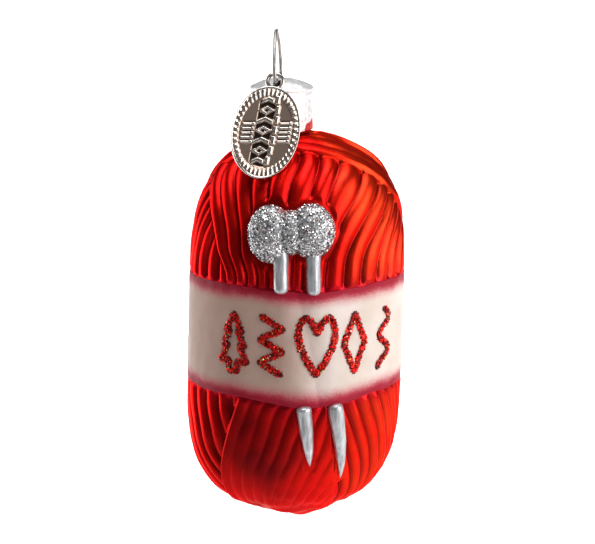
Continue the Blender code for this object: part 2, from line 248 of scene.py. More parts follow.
def skein_section(z):
    """Centre x, half width and half depth at each height: a superellipse that runs up into the neck."""
    along = np.clip(np.abs(z - SKEIN_MIDDLE) / SKEIN_HALF_HEIGHT, 0, 1)
    share = (1 - along**END_FULLNESS) ** END_ROUNDNESS
    centre = SKEIN_X + SKEIN_LEAN * (z - SKEIN_MIDDLE) - NECK_X
    sides = [SKEIN_HALF_WIDTH * share - centre, SKEIN_HALF_WIDTH * share + centre, SKEIN_HALF_DEPTH * share]
    left, right, depth = (np.where(z > SKEIN_MIDDLE, smooth_max(v, NECK_RADIUS), v) for v in sides)
    return NECK_X + (right - left) / 2, (right + left) / 2, depth


def skein_point(angle, z, out=0.0):
    """Points at these angles and heights, moved out sideways from the smooth skein."""
    centre, half_width, half_depth = skein_section(z)
    x = centre + (half_width + out) * np.sin(angle)
    y = -(half_depth + out) * np.cos(angle)
    return triples(x, y, z + 0 * angle)


def band_edge(angle, edge):
    """The height of the band's top or bottom edge, which dips at the front."""
    depth = BAND_TOP_DIP if edge == BAND_TOP else BAND_BOTTOM_DIP
    return edge - depth * bell((angle - DIP_ANGLE) / DIP_SPREAD)


def follow_band(angle, z):
    """Moves heights with the band's edges, fading out within DIP_REACH of them."""
    dip = bell((angle - DIP_ANGLE) / DIP_SPREAD)
    near_top = np.clip(1 - np.abs(z - BAND_TOP) / DIP_REACH, 0, 1)
    near_bottom = np.clip(1 - np.abs(z - BAND_BOTTOM) / DIP_REACH, 0, 1)
    return z - dip * (BAND_TOP_DIP * near_top + BAND_BOTTOM_DIP * near_bottom)


def needle_bump(angle, z):
    """How far the band stands out over the two needles: a bell across each centre line."""
    along = (BAND_TOP - z) / (BAND_TOP - BAND_BOTTOM)
    rise = 0
    for needle in NEEDLES.values():
        centre = np.radians(needle["band_top"] + along * (needle["band_bottom"] - needle["band_top"]))
        rise = np.maximum(rise, bell((angle - centre) / BUMP_SPREAD))
    return BUMP * rise


def even_heights(start, end, spacing):
    """Heights from start down to end whose rings are an even way apart along the profile."""
    z = SKEIN_MIDDLE + SKEIN_HALF_HEIGHT * np.cos(np.linspace(0, math.pi, 6001))
    z = z[(z <= start) & (z >= end)]
    z = np.concatenate([[start], z, [end]])
    width = skein_section(z)[1]
    run = np.concatenate([[0], np.cumsum(np.hypot(np.diff(z), np.diff(width)))])
    return np.interp(np.linspace(0, run[-1], round(run[-1] / spacing) + 1), run, z)


# ---------------------------------------------------------------- the strands of yarn

DEG = math.pi / 180
STRAND_DEPTH = 1.15 * MM
UPPER_PITCH = 7.3 * DEG
LOWER_PITCH = 8.4 * DEG
CREST_PITCH = 4.2 * MM
CREST_BORDER = -26.6 * MM
FRONT_BORDER = -47 * DEG
BACK_BORDER = 66 * DEG


def strand(phase, seed, fullness=2.3):
    """Height from 0 in a groove to about 1 on a strand's crest: a rounded arch in each whole step."""
    index = np.floor(phase)
    arch = 1 - np.abs(2 * (phase - index) - 1) ** fullness
    return arch * (0.84 + 0.3 * scatter(index, seed))


def overlay(base, top, into):
    """One bundle over another. into is how far inside the top bundle's border, in strands: the first
    strand stands proud, and the bundle below dips as it runs under."""
    proud = 0.42 * np.exp(-np.clip(into, 0, None) / 1.1) * smooth(into / 0.3)
    dip = 0.3 * np.exp(np.clip(into, None, 0) / 0.6)
    return np.where(into > 0, top + proud, base - dip)


def upper_strands(angle, points):
    """The bundles above the band.

    Up the front a strand at angle k at the band fans out to k + (15.4 + 0.975 k) w degrees, where w
    grows as the 2.2th power of the height. Round the back it fans by the height's square. Over the
    crest, strands are the cuts of parallel slanting planes.
    """
    z = points[..., 2]
    rise = np.clip((z + 57 * MM) / (22 * MM), 0, None)
    back = (angle % (2 * math.pi)) - math.pi
    back_k = back / (1 + 0.22 * rise**2)
    height = strand(back_k / (1.28 * UPPER_PITCH) + 0.3 * ripple(points, 30 * MM, 2), 1)

    fan = rise**2.2
    front_k = (angle - 15.4 * DEG * fan) / (1 + 0.975 * fan)
    veer = 6 * DEG * smooth((-50 * MM - z) / (8 * MM)) * np.clip(-front_k / (40 * DEG), 0, 1)
    wider = front_k - 0.33 * np.clip(front_k - 4 * DEG, 0, None)
    into = (wider - veer - FRONT_BORDER) / UPPER_PITCH
    front = strand(into + 0.12 * ripple(points, 26 * MM, 3) * smooth(into), 2)
    height = overlay(height, front, np.where(angle > 0, np.maximum(into, 3), into))

    plane = (0.24 * points[..., 0] + points[..., 1] + z) / 1.434
    into = (plane - CREST_BORDER) / CREST_PITCH
    crest = 0.48 + 0.4 * strand(into + 0.2 * ripple(points, 24 * MM, 4) * smooth(into), 3)
    crest = crest + 0.07 * ripple(points, 8 * MM, 15)
    height = overlay(height, crest, into)

    into = (BACK_BORDER - np.abs(back_k)) / UPPER_PITCH
    behind = strand(into, 4)
    over = overlay(height, behind, into)
    return np.where(np.abs(back) < 2.0, over, height)


def lower_strands(angle, points):
    """The bundles below the band: a centre bundle slants to the left, one beside the needles fans to
    the right, and both lie over the strands that come round from the back."""
    z = points[..., 2]
    fall = np.clip((-86.5 * MM - z) / (25 * MM), 0, 1.6)
    back = (angle % (2 * math.pi)) - math.pi
    back_k = back / (1 + 0.2 * fall**2)
    height = strand(back_k / (1.25 * LOWER_PITCH) + 0.25 + 0.2 * ripple(points, 30 * MM, 5), 6)

    slant = angle + 20 * DEG * fall
    into = (slant + 31 * DEG) / LOWER_PITCH
    centre = strand(into * 1.04 + 0.14 * ripple(points, 22 * MM, 7) * smooth(into), 8)
    curve = (angle - 24 * DEG * fall - 2 * DEG) / LOWER_PITCH
    right = strand(curve + 0.12 * ripple(points, 22 * MM, 10), 12)
    seam = (21.5 * DEG + 9.5 * DEG * fall - angle) / LOWER_PITCH
    front = overlay(right, 0.5 + 0.4 * centre, seam)
    edge = np.where(seam > 0, into, (95 * DEG - angle + 24 * DEG * fall) / LOWER_PITCH)
    height = overlay(height, front, edge)
    brink = smooth(into / 0.4) * np.exp(-np.clip(into, 0, None) / 0.9) * smooth((-97 * MM - z) / (8 * MM))
    height = height + 0.55 * brink * smooth((60 * DEG - np.abs(angle + 40 * DEG)) / (20 * DEG))
    lumps = 0.5 + 0.8 * ripple(points, 9 * MM, 9, octaves=2)
    end = smooth((-113.5 * MM - z) / (5 * MM))
    return height * (1 - end) + lumps * end


def knob_distance(angle, z, side):
    """Distance from a knob's centre over the surface, where 1 is the knob's rim."""
    knob = KNOBS[side]
    across = (angle - math.radians(knob["angle"])) * 25.5 * MM
    return np.hypot(across / knob["half_width"], (z - knob["z"]) / knob["half_height"])


def needle_distance(angle, z):
    """Distance in metres from the nearer needle's centre line, above and below the band."""
    nearest = np.full(np.shape(z), 1.0)
    for needle in NEEDLES.values():
        ends = [
            (needle["top"], SHAFT_TOP, needle["band_top"], BAND_TOP - BAND_TOP_DIP),
            (needle["band_bottom"], BAND_BOTTOM - BAND_BOTTOM_DIP, needle["point"], needle["point_z"]),
        ]
        for a0, z0, a1, z1 in ends:
            share = np.clip((z - z0) / (z1 - z0), 0, 1)
            across = (angle - np.radians(a0 + (a1 - a0) * share)) * 25.5 * MM
            past = z - (z0 + (z1 - z0) * share)
            nearest = np.minimum(nearest, np.hypot(across, past))
    return nearest


def relief(angle, points):
    """Displacement of the glass, and how much of each point is strand, groove, halo, overspray,
    painted shade over the front, or painted orange glow on the right side, where the key light falls."""
    z = points[..., 2]
    upper = z > SKEIN_MIDDLE
    height = np.where(upper, upper_strands(angle, points), lower_strands(angle, points))
    knob = np.minimum(knob_distance(angle, z, "left"), knob_distance(angle, z, "right"))
    clear = smooth((knob - 1.08) / 0.22) * smooth((needle_distance(angle, z) - 1.5 * MM) / (0.5 * MM))
    top = BAND_TOP - BAND_TOP_DIP * bell((angle - DIP_ANGLE) / DIP_SPREAD)
    bottom = BAND_BOTTOM - BAND_BOTTOM_DIP * bell((angle - DIP_ANGLE) / DIP_SPREAD)
    from_band = np.where(upper, z - top, bottom - z)
    neck = np.hypot(points[..., 0] - NECK_X, points[..., 1])
    fade = smooth((from_band + 0.2 * MM) / (1.6 * MM)) * smooth((neck - 7.4 * MM) / (2.5 * MM))
    fade = np.where(upper, fade, smooth((from_band + 0.2 * MM) / (1.6 * MM)))
    shaped = height * clear * fade + 0.7 * (1 - clear) * fade + 0.75 * (1 - fade)
    out = (shaped - 1) * sizes().strand_depth + 0.1 * MM * ripple(points, 16 * MM, 11)
    recess = smooth((-from_band - 0.1 * MM) / (0.6 * MM))
    out = out * (1 - recess) + (needle_bump(angle, z) - RECESS) * recess
    halo = (1 - smooth((knob - 1.12) / 0.2)) * upper
    spray = np.exp(-np.clip(from_band, 0, None) / (1.7 * MM))
    low_z = (z + 101 * MM) / (15 * MM)
    high_z = (z + 50 * MM) / (13 * MM)
    # Painted shade: darkens the lacquer over the lower front and, more faintly, the upper front.
    shade = bell((angle + 20 * DEG) / (34 * DEG)) * bell(low_z)
    shade = shade + 0.35 * bell((angle + 18 * DEG) / (26 * DEG)) * bell(high_z)
    shade = np.clip(shade * (1 + 0.3 * ripple(points, 12 * MM, 13)), 0, 1)
    # Painted light: an orange glow laid on the right side, where the key light falls.
    painted_glow = smooth((angle - 12 * DEG) / (38 * DEG)) * smooth((150 * DEG - angle) / (50 * DEG))
    painted_glow = painted_glow * np.where(upper, 0.62, 0.4) * (0.8 + 0.4 * ripple(points, 14 * MM, 14))
    return out, {"strand": shaped, "halo": halo, "spray": spray, "shade": shade, "painted_glow": painted_glow}


# ---------------------------------------------------------------- materials


# Each kind of node: its type, the sockets that take its values in order, its settings and its output.
KINDS = {
    "attribute": ("ShaderNodeAttribute", (), {}, "Fac"),
    "coordinates": ("ShaderNodeTexCoord", (), {}, "Object"),
    "mapping": ("ShaderNodeMapping", ("Vector", "Scale"), {}, 0),
    "noise": ("ShaderNodeTexNoise", ("Vector", "Scale", "Detail", "Roughness"), {}, "Fac"),
    "range": ("ShaderNodeMapRange", range(5), {"interpolation_type": "SMOOTHSTEP"}, 0),
    "mix": ("ShaderNodeMix", (0, 6, 7), {"data_type": "RGBA"}, 2),
    "bump": ("ShaderNodeBump", ("Height", "Distance", "Strength", "Normal"), {}, 0),
    "ramp": ("ShaderNodeValToRGB", ("Fac",), {}, 0),
    "add": ("ShaderNodeMath", (0, 1), {"operation": "ADD"}, 0),
    "multiply": ("ShaderNodeMath", (0, 1), {"operation": "MULTIPLY"}, 0),
    "subtract": ("ShaderNodeMath", (0, 1), {"operation": "SUBTRACT"}, 0),
}


class Recipe:
    """A material's node tree, made node by node."""

    def __init__(self, name):
        self.material = bpy.data.materials.new(name)
        self.material.use_nodes = True
        self.tree = self.material.node_tree
        self.shader = self.tree.nodes["Principled BSDF"]

    def fill(self, node, values):
        """Gives sockets of a node their values: a socket is linked, and a hex code becomes its colour."""
        for socket, value in values.items():
            if isinstance(value, bpy.types.NodeSocket):
                self.tree.links.new(value, node.inputs[socket])
            else:
                node.inputs[socket].default_value = linear(value) if isinstance(value, str) else value

    def add(self, kind, *values, **settings):
        """Adds one node of a kind from KINDS, with values for that kind's sockets, and gives its output."""
        type_name, sockets, fixed, output = KINDS[kind]
        node = self.tree.nodes.new(type_name)
        for key, value in {**fixed, **settings}.items():
            setattr(node, key, value)
        self.fill(node, dict(zip(sockets, values)))
        return node.outputs[output]

    def shade(self, links=None, **values):
        """Fills sockets of the surface shader."""
        named = {key.replace("_", " "): value for key, value in values.items()}
        self.fill(self.shader, {**named, **(links or {})})


def marked(recipe, attribute, share):
    """A point attribute times a share."""
    return recipe.add("multiply", recipe.add("attribute", attribute_name=attribute), share)


def noise(recipe, size, detail=2.0, roughness=0.5, stretch=(1, 1, 1)):
    """Noise on the object's own coordinates, whose lumps are about size metres across."""
    spot = recipe.add("mapping", recipe.add("coordinates"), stretch)
    return recipe.add("noise", spot, 1 / size, detail, roughness)


def mottle(recipe, size, detail, start, end, low=0.0, high=1.0):
    """Noise, with its values from start to end spread over low to high."""
    return recipe.add("range", noise(recipe, size, detail), start, end, low, high)


def red_lacquer(colours):
    """Transparent red lacquer sprayed on blown glass that is silvered inside.

    It gives a deep metallic red with a painted orange glow on the lit right side, darkens in the
    grooves with pooled lacquer and painted shade, takes painted maroon shade over the front strands,
    and wears a soft satin sheen on the crests.
    """
    recipe = Recipe("lacquered_silvered_glass_satin_red")
    strand_ = recipe.add("attribute", attribute_name="strand")
    # Grooves darken: pooled lacquer and painted shade together.
    pooled_and_shade = recipe.add("range", strand_, 0.1, 0.8, 1.0, 0.0)
    drift = mottle(recipe, 11 * MM, 3, 0.35, 0.7)
    red = recipe.add("mix", drift, colours.lacquer, colours.lacquer_deep)
    # Painted orange glow on the lit right side.
    red = recipe.add("mix", recipe.add("attribute", attribute_name="painted_glow"), red, colours.lacquer_painted_glow)
    red = recipe.add("mix", recipe.add("multiply", pooled_and_shade, 0.6), red, colours.lacquer_pooled_and_shade)
    # The halo round the knobs takes the groove colour; the painted shade darkens the front strands.
    layers = (("halo", 0.35, colours.lacquer_pooled_and_shade), ("shade", 0.9, colours.lacquer_painted_shade))
    for attribute, share, paint in (*layers, ("spray", 0.7, colours.band_edge)):
        red = recipe.add("mix", marked(recipe, attribute, share), red, paint)
    rough = mottle(recipe, 5 * MM, 2, 0.3, 0.7, 0.31, 0.4)
    grit = recipe.add("bump", noise(recipe, 0.35 * MM, 2), 0.02 * MM, 0.35)
    soft = recipe.add("bump", noise(recipe, 3.2 * MM, 2), 0.12 * MM, 0.4, grit)
    recipe.shade({"Base Color": red, "Roughness": rough, "Normal": soft}, Metallic=1.0)
    recipe.shade(Coat_Weight=0.1, Coat_Roughness=0.32, Specular_Tint=linear("FF8A7A"))
    return recipe.material


def silvering(colours):
    """Chemically deposited silver inside the glass: a clear mirror with a faint brown cast."""
    recipe = Recipe("deposited_silver_mirror")
    cast = recipe.add("mix", mottle(recipe, 8 * MM, 3, 0.35, 0.7), "C9C4BE", "A79B90")
    recipe.shade({"Base Color": cast}, Metallic=1.0, Roughness=0.12)
    return recipe.material


def label_enamel(colours):
    """Matt cream enamel with airbrushed maroon edges: chalky, slightly speckled, with soft brush waves."""
    recipe = Recipe("matt_enamel_cream_airbrushed_edges")
    edge = recipe.add("attribute", attribute_name="edge")
    speckle = noise(recipe, 0.45 * MM, 3, 0.7)
    for wave, reach in ((noise(recipe, 4.5 * MM, 2), 1.3 * MM), (speckle, 1.6 * MM)):
        wander = recipe.add("multiply", recipe.add("subtract", wave, 0.5), reach)
        edge = recipe.add("add", edge, wander)
    rose = recipe.add("range", edge, 0.6 * MM, 4.6 * MM, 1.0, 0.0)
    deep = recipe.add("range", edge, 0.3 * MM, 2.9 * MM, 1.0, 0.0)
    cream = recipe.add("mix", mottle(recipe, 9 * MM, 3, 0.35, 0.7), colours.label, colours.label_shade)
    cream = recipe.add(
        "mix", recipe.add("range", speckle, 0.55, 0.75, 0, 0.35), cream, colours.label_shade
    )
    # Painted shade on the band's left side.
    painted_left_shade = marked(recipe, "painted_left_shade", 0.75)
    cream = recipe.add("mix", painted_left_shade, cream, colours.label_painted_left_shade)
    cream = recipe.add("mix", rose, cream, colours.band_rose)
    cream = recipe.add("mix", deep, cream, colours.band_edge)
    grain = recipe.add("bump", speckle, 0.05 * MM, 0.5)
    brush = recipe.add("bump", noise(recipe, 2.2 * MM, 2, 0.5, (1, 1, 0.45)), 0.14 * MM, 0.45, grain)
    recipe.shade({"Base Color": cream, "Normal": brush}, Roughness=0.6, Specular_IOR_Level=0.25)
    return recipe.material


def needle_enamel(colours):
    """Satin silver enamel brushed on by hand: pale grey, faintly streaked along the needle."""
    recipe = Recipe("brushed_on_enamel_satin_silver")
    streak = noise(recipe, 0.8 * MM, 3, 0.6, (1, 1, 0.15))
    grey = recipe.add("mix", recipe.add("range", streak, 0.35, 0.7), colours.needle, "A9ABB0")
    worn = recipe.add("bump", noise(recipe, 0.5 * MM, 2), 0.03 * MM, 0.5)
    rough = recipe.add("range", streak, 0.3, 0.7, 0.3, 0.42)
    recipe.shade({"Base Color": grey, "Roughness": rough, "Normal": worn}, Metallic=0.72)
    return recipe.material


def glitter_glue(name, colour, dark):
    """Clear glue in which the flakes lie: dark between them, wet and uneven."""
    recipe = Recipe(name)
    tone = recipe.add(
        "mix", recipe.add("range", noise(recipe, 0.5 * MM, 3, 0.7), 0.35, 0.7), colour, dark
    )
    lumps = recipe.add("bump", noise(recipe, 0.45 * MM, 3, 0.6), 0.12 * MM, 0.9)
    recipe.shade({"Base Color": tone, "Normal": lumps}, Metallic=0.45, Roughness=0.4, Coat_Weight=0.15)
    return recipe.material


def glitter_flake(name, ramp):
    """Cut metallised film: each flake is one flat facet, and its own shade by the attribute tone."""
    recipe = Recipe(name)
    node = recipe.add("ramp", recipe.add("attribute", attribute_name="tone")).node
    node.color_ramp.interpolation = "CONSTANT"
    for _ in ramp[2:]:
        node.color_ramp.elements.new(0.5)
    for element, (position, code) in zip(node.color_ramp.elements, ramp):
        element.position = position
        element.color = linear(code)
    recipe.shade({"Base Color": node.outputs["Color"]}, Metallic=0.72, Roughness=0.25)
    return recipe.material


def cap_metal(colours):
    """Thin bright-anodised aluminium, stamped and crinkled: near-mirror with fine dimples."""
    recipe = Recipe("stamped_aluminium_bright")
    # Red where the attribute paint marks the patch low on the skirt.
    red = recipe.add(
        "mix",
        recipe.add("range", recipe.add("attribute", attribute_name="paint"), 0.35, 0.6),
        colours.cap,
        "C2120C",
    )
    metal = recipe.add("range", recipe.add("attribute", attribute_name="paint"), 0.35, 0.6, 0.7, 0.3)
    dimples = recipe.add("bump", noise(recipe, 0.6 * MM, 2, 0.6), 0.16 * MM, 0.9)
    dents = recipe.add("bump", noise(recipe, 2.2 * MM, 2), 0.4 * MM, 0.6, dimples)
    rough = mottle(recipe, 1.4 * MM, 3, 0.3, 0.7, 0.36, 0.5)
    recipe.shade({"Base Color": red, "Metallic": metal, "Roughness": rough, "Normal": dents})
    return recipe.material


def spring_wire(colours):
    """Drawn spring steel, bright, with drawing lines along it too fine to see and a few dull spots."""
    recipe = Recipe("drawn_spring_steel_bright")
    tone = recipe.add("mix", mottle(recipe, 1.6 * MM, 3, 0.35, 0.7), colours.wire, "8E8C89")
    lines = recipe.add("bump", noise(recipe, 0.25 * MM, 2), 0.01 * MM, 0.4)
    rough = mottle(recipe, 1.1 * MM, 2, 0.3, 0.7, 0.34, 0.46)
    recipe.shade({"Base Color": tone, "Roughness": rough, "Normal": lines}, Metallic=1.0)
    return recipe.material


def tag_nickel(colours):
    """Antique nickel over a zinc casting: raised edges polished bright, hollows left brown and dark."""
    recipe = Recipe("cast_zinc_antique_nickel")
    raised = recipe.add("attribute", attribute_name="raised")
    wear = recipe.add("multiply", recipe.add("subtract", noise(recipe, 1.3 * MM, 3), 0.5), 0.5)
    bright = recipe.add("range", recipe.add("add", raised, wear), 0.2, 0.85)
    tone = recipe.add("mix", bright, colours.tag_hollow, colours.tag)
    tone = recipe.add("mix", recipe.add("range", raised, -0.3, -0.05, 0.94, 0.0), tone, "2B211C")
    rough = recipe.add("range", bright, 0, 1, 0.3, 0.16)
    cast = recipe.add("bump", noise(recipe, 0.6 * MM, 3), 0.04 * MM, 0.45)
    recipe.shade({"Base Color": tone, "Roughness": rough, "Normal": cast}, Metallic=1.0)
    return recipe.material


def studio_floor(colours):
    """Seamless backdrop paper: pale, matt, very faintly mottled."""
    recipe = Recipe("backdrop_paper_matt_pale")
    tone = recipe.add("mix", mottle(recipe, 60 * MM, 3, 0.3, 0.7), colours.floor, "FBFAF9")
    fibres = recipe.add("bump", noise(recipe, 2 * MM, 2), 0.05 * MM, 0.2)
    recipe.shade({"Base Color": tone, "Normal": fibres}, Roughness=0.9)
    return recipe.material


# ---------------------------------------------------------------- settings


def colour_property(name, description, code):
    """A colour setting that starts as this hex code."""
    return bpy.props.FloatVectorProperty(
        name=name,
        description=description,
        default=linear(code),
        size=4,
        min=0,
        max=1,
        subtype="COLOR",
    )


class OrnamentColours(bpy.types.PropertyGroup):
    """The paints and metals."""

    lacquer: colour_property("Lacquer", "Red lacquer of ordinary thickness", "F01408")
    # Painted light: the orange of the glow laid on the lit right side.
    lacquer_painted_glow: colour_property("Thin lacquer", "Red lacquer where it is thin", "FF4C20")
    lacquer_deep: colour_property("Deep lacquer", "Red lacquer where it is thicker", "D00608")
    # Pooled lacquer and painted shade in the grooves, also used for the ring round the knobs.
    lacquer_pooled_and_shade: colour_property("Pooled lacquer", "Red lacquer in the grooves", "4E0206")
    # Painted shade: the maroon laid over the front strands.
    lacquer_painted_shade: colour_property("Shaded lacquer", "Maroon airbrushed over the front strands", "620208")
    label: colour_property("Label", "Cream enamel of the band", "EEE0DA")
    label_shade: colour_property("Label shade", "Darker patches of the cream", "E2D1C6")
    # Painted shade: the browner cream of the band's left side.
    label_painted_left_shade: colour_property("Warm label", "Brown tinge of the cream left of the needles", "BD9484")
    band_rose: colour_property("Airbrush", "Rose airbrushed along the band", "CC4058")
    band_edge: colour_property("Airbrush edge", "Maroon at the band's very edge", "A2082A")
    needle: colour_property("Needle", "Silver enamel of the needles", "DCE0E6")
    cap: colour_property("Cap", "Aluminium of the cap", "F3F3F4")
    wire: colour_property("Wire", "Steel of the loop", "BCB9B5")
    tag: colour_property("Tag", "Polished nickel of the tag", "D6D0CA")
    tag_hollow: colour_property("Tag hollows", "Antiqued nickel in the tag's hollows", "B8A294")
    floor: colour_property("Floor", "Backdrop paper", "FAF9F8")


class OrnamentSizes(bpy.types.PropertyGroup):
    """The sizes that change how fine the finish is."""

    strand_depth: bpy.props.FloatProperty(
        name="Strand depth",
        description="How deep the grooves between the strands are",
        default=STRAND_DEPTH,
        min=0.2 * MM,
        max=1.4 * MM,
        unit="LENGTH",
    )
    stroke_width: bpy.props.FloatProperty(
        name="Glitter line",
        description="Width of the glitter lines on the band",
        default=1.75 * MM,
        min=0.8 * MM,
        max=2.5 * MM,
        unit="LENGTH",
    )
    flake: bpy.props.FloatProperty(
        name="Glitter flake",
        description="Width of one flake of glitter",
        default=0.46 * MM,
        min=0.2 * MM,
        max=0.8 * MM,
        unit="LENGTH",
    )
    flakes_per_knob: bpy.props.IntProperty(
        name="Flakes on a knob",
        description="How many flakes lie on each knob",
        default=2600,
        min=200,
        max=5000,
    )
    rope_turns: bpy.props.IntProperty(
        name="Rope turns",
        description="Segments of the rope round the tag",
        default=44,
        min=20,
        max=80,
    )


def colours():
    """The scene's own colours, which the panel shows."""
    return bpy.context.scene.ornament_colours


def sizes():
    """The scene's own sizes, which the panel shows."""
    return bpy.context.scene.ornament_sizes


# ---------------------------------------------------------------- the glass


def make_lacquered_skin(name, start, end, spacing, caps, material):
    """One skin of the glass, over these heights, with the strands pressed into it."""
    heights = even_heights(start, end, spacing)
    angle = around(COLUMNS)
    z = heights[:, None] + 0 * angle
    base = skein_point(angle, z)
    out, marks = relief(angle + 0 * z, base)
    points = base + normals_of(base) * out[..., None]
    points[..., 2] = np.minimum(points[..., 2], np.maximum(z, SKEIN_TOP))
    mesh = grid_mesh(name, points, marks, caps=caps)
    return place(name, mesh, material, "glass", "lacquered_glass")


class MakeGlass(bpy.types.Operator):
    """Makes the blown glass: two skins with the moulded strands, the waist under the band, and the
    silvered inside."""

    bl_idname = "ornament.make_glass"
    bl_label = "Glass"

    def execute(self, context):
        lacquer = red_lacquer(colours())
        foot_z = SKEIN_MIDDLE - SKEIN_HALF_HEIGHT
        foot = (float(skein_section(foot_z)[0]), 0.0, foot_z + 0.2 * MM)
        upper_end = BAND_TOP - BAND_TOP_DIP - 1.6 * MM
        lower_start = BAND_BOTTOM - BAND_BOTTOM_DIP + 3.4 * MM
        upper = make_lacquered_skin(
            "glass_upper_skin", NECK_RIM, upper_end, 0.33 * MM, (None, None), lacquer
        )
        lower = make_lacquered_skin(
            "glass_lower_skin", lower_start, foot_z + 0.05 * MM, 0.33 * MM, (None, foot), lacquer
        )
        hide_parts("glass_body")

        heights = np.linspace(upper_end + 0.6 * MM, lower_start - 0.6 * MM, 40)[:, None]
        angle = around(180)
        base = skein_point(angle, heights + 0 * angle)
        out = needle_bump(angle, heights) - RECESS - 0.05 * MM
        waist = base + normals_of(base) * out[..., None]
        mesh = grid_mesh("glass_waist", waist, {"strand": 0 * out + 0.7})
        place("glass_waist", mesh, lacquer, "glass", "lacquered_glass")

        heights = even_heights(NECK_RIM, foot_z + 0.6 * MM, 1.2 * MM)[:, None]
        angle = around(120)
        base = skein_point(angle, heights + 0 * angle)
        thick = (1.0 + 1.3 * smooth((SKEIN_TOP + 1 * MM - heights) / (3 * MM)))[..., None] * MM
        inner = (base - normals_of(base) * thick)[:, ::-1]
        inner[0, :, 2] = NECK_RIM
        mesh = grid_mesh("glass_silvering", inner, caps=(None, (foot[0], 0.0, foot_z + 2.6 * MM)))
        place("glass_silvering", mesh, silvering(colours()), "glass", "lacquered_glass")

        bore = inner[0]
        lip_outer = skein_point(angle, np.full((1, 1), NECK_RIM) + 0 * angle, -0.25 * STRAND_DEPTH)[0, ::-1]
        middle = (bore + lip_outer) / 2 + np.array([0, 0, 0.35 * MM])
        mesh = grid_mesh("glass_neck_lip", np.stack([bore, middle, lip_outer])[:, ::-1])
        place("glass_neck_lip", mesh, lacquer, "glass", "lacquered_glass")
        return {"FINISHED"}


# ---------------------------------------------------------------- bars, strokes and flakes


def smooth_path(points, steps):
    """A Catmull-Rom curve through the points: on each stretch a cubic whose slope at a point is half
    the way from the point before to the point after."""
    points = np.asarray(points, float)
    padded = np.vstack([2 * points[0] - points[1], points, 2 * points[-1] - points[-2]])
    a, b, c, d = (padded[i : len(padded) - 3 + i, None] for i in range(4))
    t = np.linspace(0, 1, steps, endpoint=False)[None, :, None]
    curve = 0.5 * (2 * b + (c - a) * t + (2 * a - 5 * b + 4 * c - d) * t**2 + (3 * b - a - 3 * c + d) * t**3)
    return np.vstack([curve.reshape(-1, points.shape[1]), points[-1:]])


def bar_grid(path, reach, up, sides, flat=1.0):
    """A bar along a path: at each point a circle of radius reach round the tangent. Up is the way its
    first side faces, and flat scales the circle that way."""
    path = np.asarray(path, float)
    along = np.gradient(path, axis=0)
    along /= np.linalg.norm(along, axis=1, keepdims=True)
    up = np.broadcast_to(up, path.shape)
    up = up - (up * along).sum(1, keepdims=True) * along
    up /= np.linalg.norm(up, axis=1, keepdims=True)
    side = np.cross(up, along)
    turn = np.linspace(0, 2 * math.pi, sides, endpoint=False)[None, :, None]
    ring = np.cos(turn) * up[:, None] * flat + np.sin(turn) * side[:, None]
    return path[:, None] + ring * np.broadcast_to(reach, len(path))[:, None, None]


def join_meshes(name, meshes):
    """One mesh of many, with their faces and their point attributes kept."""
    places, faces, values, offset = [], [], [], 0
    for mesh in meshes:
        spots = np.empty(len(mesh.vertices) * 3, np.float32)
        mesh.vertices.foreach_get("co", spots)
        places.append(spots.reshape(-1, 3))
        faces += [[v + offset for v in polygon.vertices] for polygon in mesh.polygons]
        offset += len(mesh.vertices)
        bpy.data.meshes.remove(mesh)
    joined = bpy.data.meshes.new(name)
    joined.from_pydata(np.concatenate(places), [], faces)
    joined.shade_smooth()
    return joined


def flake_mesh(name, centres, normals, seed):
    """Hexagonal flakes, each turned and tipped at random by up to about 40 degrees off the surface."""
    dice = np.random.default_rng(seed)
    count = len(centres)
    tipped = normals + dice.normal(0, 0.34, (count, 3))
    tipped /= np.linalg.norm(tipped, axis=1, keepdims=True)
    side = np.cross(tipped, dice.normal(size=(count, 3)))
    side /= np.linalg.norm(side, axis=1, keepdims=True)
    across = np.cross(tipped, side)
    reach = sizes().flake / 2 * dice.uniform(0.75, 1.2, (count, 1, 1))
    turn = np.linspace(0, 2 * math.pi, 6, endpoint=False)[None, :, None]
    ring = centres[:, None] + reach * (np.cos(turn) * side[:, None] + np.sin(turn) * across[:, None])
    mesh = bpy.data.meshes.new(name)
    mesh.from_pydata(ring.reshape(-1, 3), [], np.arange(count * 6).reshape(-1, 6).tolist())
    tone = np.repeat(dice.uniform(0, 1, count), 6).astype(np.float32)
    mesh.attributes.new("tone", "FLOAT", "POINT").data.foreach_set("value", tone)
    return mesh


SILVER_FLAKES = [
    (0.0, "8E8E94"),
    (0.13, "C8C8CC"),
    (0.36, "ECECEE"),
    (0.6, "FFFFFF"),
    (0.88, "5C5C64"),
    (0.972, "D8A48C"),
    (0.984, "9FB4C6"),
    (0.995, "C83C9A"),
]
RED_FLAKES = [
    (0.0, "B80808"),
    (0.22, "F01410"),
    (0.52, "6A0406"),
    (0.64, "FF2C18"),
    (0.88, "300204"),
    (0.955, "F8C8BC"),
    (0.972, "F08A3C"),
    (0.99, "7CC85A"),
]


# ---------------------------------------------------------------- band, needles, knobs and motifs


